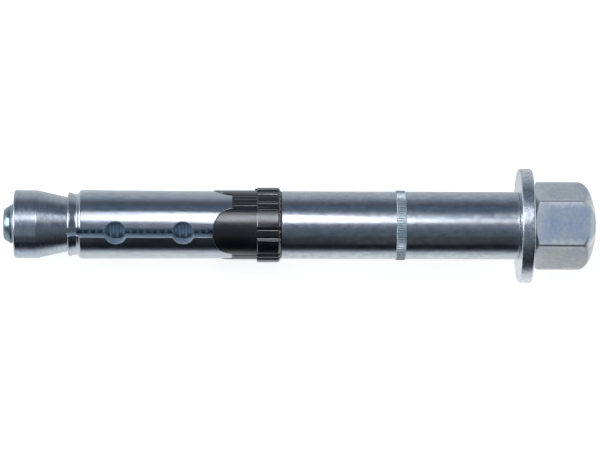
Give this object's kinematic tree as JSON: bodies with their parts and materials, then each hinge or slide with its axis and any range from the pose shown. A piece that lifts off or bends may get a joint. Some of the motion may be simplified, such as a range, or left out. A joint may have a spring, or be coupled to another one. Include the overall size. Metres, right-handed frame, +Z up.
{
  "type": "sleeve anchor",
  "caption": "Through-fixing anchor: tightening the domed cap nut draws a cone nut into a slotted sleeve, which spreads in the drilled hole behind a plastic crush ring and a spacer.",
  "frame": {"origin": "on the anchor's axis in the washer's seat face, where the fixture's surface lies", "axes": "+Z up; the anchor lies along X with its nut towards +X, on the rims of its washer and its cone nut, so its axis rises by 2.6 degrees towards +X"},
  "size_m": [0.1295, 0.025, 0.0251],
  "materials": {
    "stud_zinc": "zinc plated, matt on the thread",
    "cone_zinc": "zinc plated over a turned surface",
    "sleeve_zinc": "bright zinc plate over rolled strip",
    "ring_plastic": "black moulded plastic with a satin sheen",
    "washer_zinc": "zinc plated, mottled from barrel plating",
    "nut_zinc": "zinc plated, dull grey"
  },
  "bodies": {
    "root": {"threaded_stud": "stud_zinc", "cone_nut": "cone_zinc", "expansion_sleeve": "sleeve_zinc", "crush_ring": "ring_plastic", "spacer_sleeve": "sleeve_zinc", "washer": "washer_zinc", "cap_nut": "nut_zinc"}
  },
  "joints": []
}
